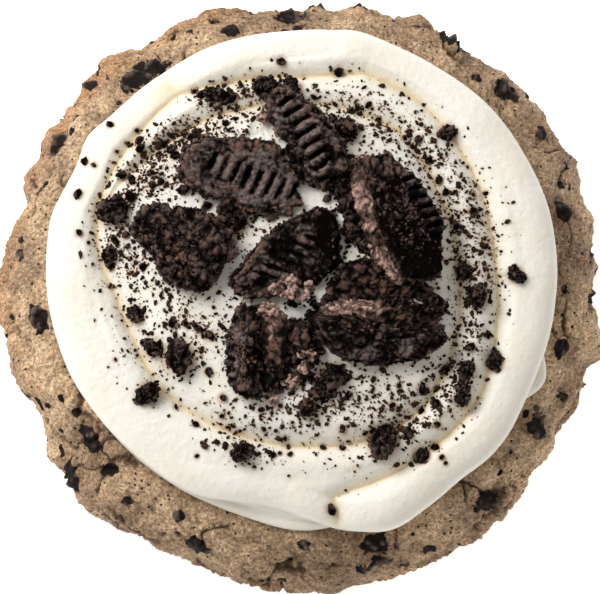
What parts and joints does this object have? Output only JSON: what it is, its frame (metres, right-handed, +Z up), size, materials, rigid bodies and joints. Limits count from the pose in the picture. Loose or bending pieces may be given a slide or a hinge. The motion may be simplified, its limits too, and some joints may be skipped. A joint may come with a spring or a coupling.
{
  "type": "cookies and cream cookie",
  "caption": "Round thick baked biscuit with a soft swirl of pale frosting, topped with broken pieces and crumbs of dark chocolate sandwich biscuit.",
  "frame": {"origin": "middle of the flat base that the biscuit rests on", "axes": "+Z up through the frosting, the front that the picture shows nearest is towards -Y"},
  "size_m": [0.0886, 0.0874, 0.0289],
  "materials": {
    "biscuit": "baked dough, tan grey with fine dark specks, rough and dry",
    "frosting": "soft cream coloured frosting, smooth with a low sheen",
    "wafer": "dark cocoa wafer, dry and crumbly",
    "filling": "sugar filling stained by cocoa crumbs, dull and grainy"
  },
  "bodies": {
    "root": {"biscuit": "biscuit", "frosting": "frosting", "piece_a_wafer": "wafer", "piece_b_wafer": "wafer", "piece_c_wafer": "wafer", "piece_c_filling": "filling", "piece_c_wafer_back": "wafer", "piece_d_wafer": "wafer", "piece_d_filling": "filling", "piece_e_wafer": "wafer", "piece_f_wafer": "wafer", "piece_f_filling": "filling", "piece_f_wafer_back": "wafer", "piece_g_wafer": "wafer", "piece_g_filling": "filling", "piece_g_wafer_back": "wafer"}
  },
  "joints": []
}
